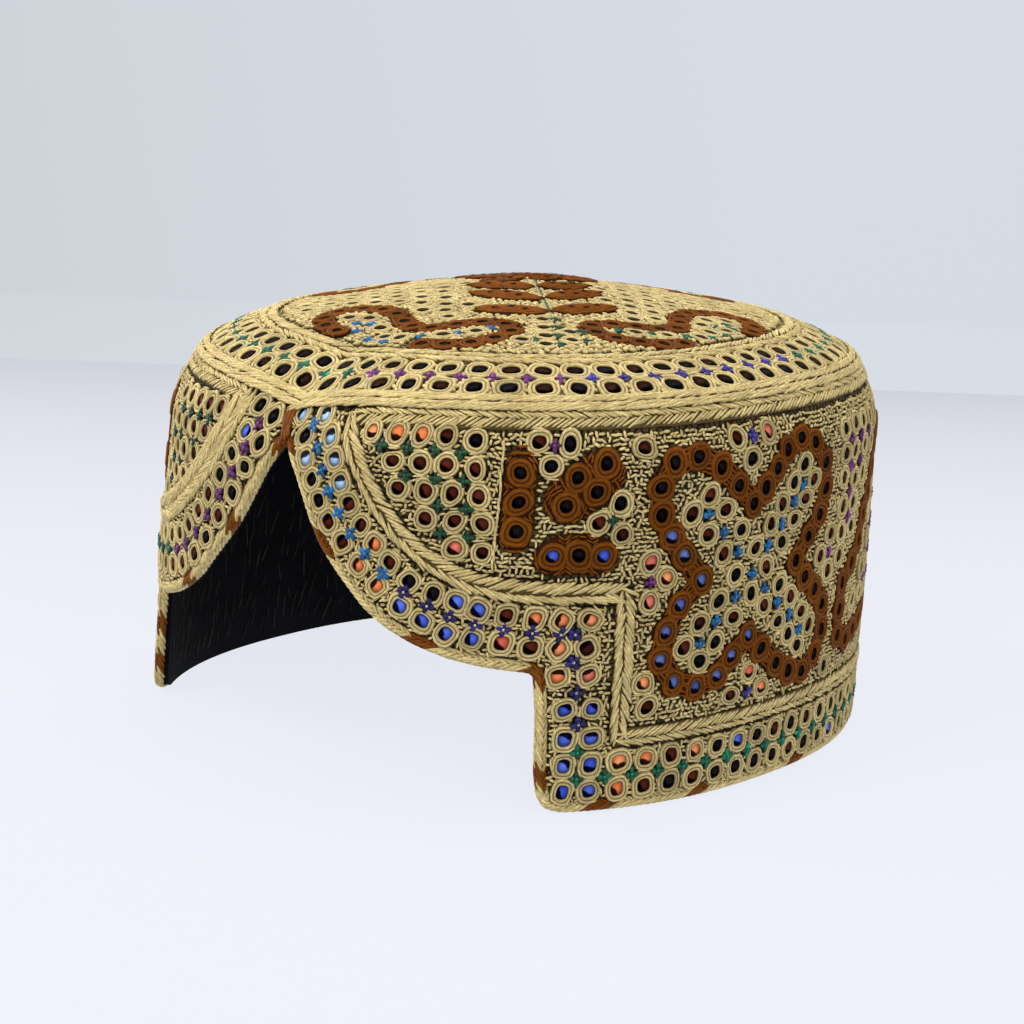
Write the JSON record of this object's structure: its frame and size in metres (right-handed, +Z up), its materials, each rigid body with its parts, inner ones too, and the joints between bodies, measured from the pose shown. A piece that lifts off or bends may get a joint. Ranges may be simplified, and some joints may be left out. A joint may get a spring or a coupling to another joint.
{
  "type": "sindhi cap",
  "caption": "Stiff round embroidered cap with an arched opening at the front, square steps beside it, a low domed top and rows of small ringed mirrors.",
  "frame": {"origin": "middle of the cap's outline, on the surface that the hem rests on", "axes": "+Z up, the arched opening faces -Y, +X is to the right for someone who looks at the opening"},
  "size_m": [0.1792, 0.1786, 0.1135],
  "materials": {
    "ground_cloth": "matte",
    "lining_cloth": "matte",
    "straw_thread": "satin",
    "rust_thread": "satin"
  },
  "bodies": {
    "root": {"side_band": "ground_cloth", "crown": "ground_cloth", "lining": "lining_cloth", "edge_cord": "straw_thread", "seam_cord_lower": "straw_thread", "seam_cord_upper": "straw_thread", "panel_braid": "straw_thread", "crown_braid": "straw_thread", "cross_motif_right": "rust_thread", "cross_motif_left": "rust_thread", "cross_motif_back": "rust_thread", "fan_motif_right": "rust_thread", "fan_motif_left": "rust_thread", "bar_motif_right": "rust_thread", "bar_motif_left": "rust_thread", "leaf_motif_right": "rust_thread", "leaf_motif_left": "rust_thread", "boat_motif_right": "rust_thread", "boat_motif_left": "rust_thread", "crown_hook_near_left": "rust_thread", "crown_leaf_near_left_1": "rust_thread", "crown_leaf_near_left_2": "rust_thread", "crown_leaf_near_left_3": "rust_thread", "crown_hook_near_right": "rust_thread", "crown_leaf_near_right_1": "rust_thread", "crown_leaf_near_right_2": "rust_thread", "crown_leaf_near_right_3": "rust_thread", "crown_hook_far_left": "rust_thread", "crown_leaf_far_left_1": "rust_thread", "crown_leaf_far_left_2": "rust_thread", "crown_leaf_far_left_3": "rust_thread", "crown_hook_far_right": "rust_thread", "crown_leaf_far_right_1": "rust_thread", "crown_leaf_far_right_2": "rust_thread", "crown_leaf_far_right_3": "rust_thread"}
  },
  "joints": []
}
